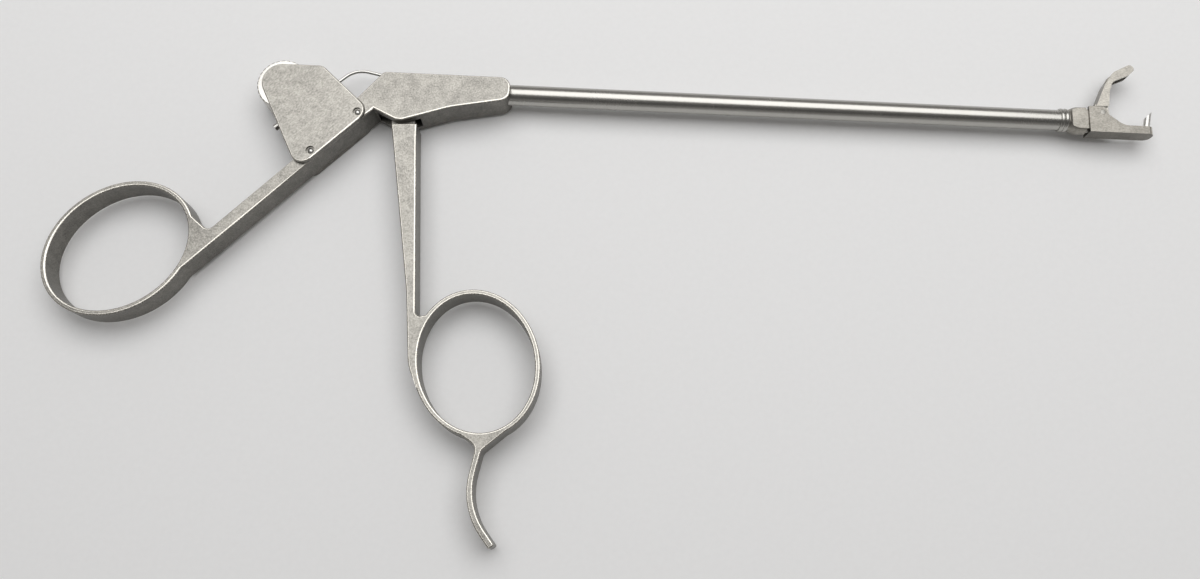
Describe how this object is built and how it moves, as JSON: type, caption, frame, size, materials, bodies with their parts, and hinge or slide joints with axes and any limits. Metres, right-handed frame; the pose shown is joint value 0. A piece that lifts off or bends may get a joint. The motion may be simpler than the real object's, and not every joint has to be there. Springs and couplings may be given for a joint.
{
  "type": "suture punch",
  "caption": "Suture punch lying flat: ring handles with a finger hook, a wheel feed, a long straight shaft, and a hinged jaw that closes over a hollow needle.",
  "frame": {"origin": "on the shaft's axis where the shaft leaves the handle", "axes": "+X along the shaft to the jaws, +Y from the finger ring towards the shaft, +Z out of the instrument's flat side"},
  "size_m": [0.2537, 0.1191, 0.0094],
  "materials": {
    "forged_steel": "bead-blasted satin stainless steel",
    "plate_steel": "satin stainless sheet",
    "shaft_steel": "polished stainless tube",
    "jaw_steel": "fine-ground stainless steel",
    "needle_steel": "polished spring steel tube",
    "pin_steel": "ground stainless pins",
    "rod_steel": "drawn stainless rod",
    "wheel_steel": "knurled stainless steel"
  },
  "bodies": {
    "handle": {"rear_handle": "forged_steel", "cover_plate": "plate_steel", "back_plate": "plate_steel", "shaft_tube": "shaft_steel", "shaft_collar": "shaft_steel", "tip_head": "jaw_steel", "lower_jaw": "jaw_steel", "jaw_needle": "needle_steel", "guide_tube": "needle_steel", "thread_inlet": "needle_steel", "cover_rivets": "pin_steel", "wheel_axle": "pin_steel", "idler_axle": "pin_steel", "trigger_pivot_pin": "pin_steel", "shaft_retaining_pin": "pin_steel", "jaw_pivot_pin": "pin_steel"},
    "trigger": {"trigger": "forged_steel", "link_pin": "pin_steel"},
    "rod": {"actuator_rod": "rod_steel", "rod_yoke": "rod_steel"},
    "upper_jaw": {"upper_jaw": "jaw_steel", "drive_pin": "pin_steel"},
    "feed_wheel": {"feed_wheel": "wheel_steel"},
    "idler_roller": {"idler_roller": "wheel_steel"}
  },
  "joints": [
    {"name": "trigger_squeeze", "type": "hinge", "parent": "handle", "child": "trigger", "pos_m": [-0.026, -0.0001, 0], "axis": [0, 0, -1], "range_deg": [0, 24]},
    {"name": "rod_slide", "type": "slide", "parent": "handle", "child": "rod", "axis": [-1, 0, 0], "range_m": [0, 0.00233]},
    {"name": "jaw_close", "type": "hinge", "parent": "handle", "child": "upper_jaw", "pos_m": [0.1391, 0.0017, 0], "axis": [0, 0, -1], "range_deg": [0, 66]},
    {"name": "feed_wheel_spin", "type": "hinge", "parent": "handle", "child": "feed_wheel", "pos_m": [-0.0535, -0.0013, 0], "axis": [0, 0, 1], "continuous": true},
    {"name": "idler_spin", "type": "hinge", "parent": "handle", "child": "idler_roller", "pos_m": [-0.04752, -0.00789, 0], "axis": [0, 0, 1], "continuous": true}
  ],
  "couplings": [
    {"joint": "rod_slide", "follows": "trigger_squeeze", "m_per_rad": 0.0055591},
    {"joint": "jaw_close", "follows": "trigger_squeeze", "ratio": 2.7499},
    {"joint": "idler_spin", "follows": "feed_wheel_spin", "ratio": -2.5417}
  ]
}
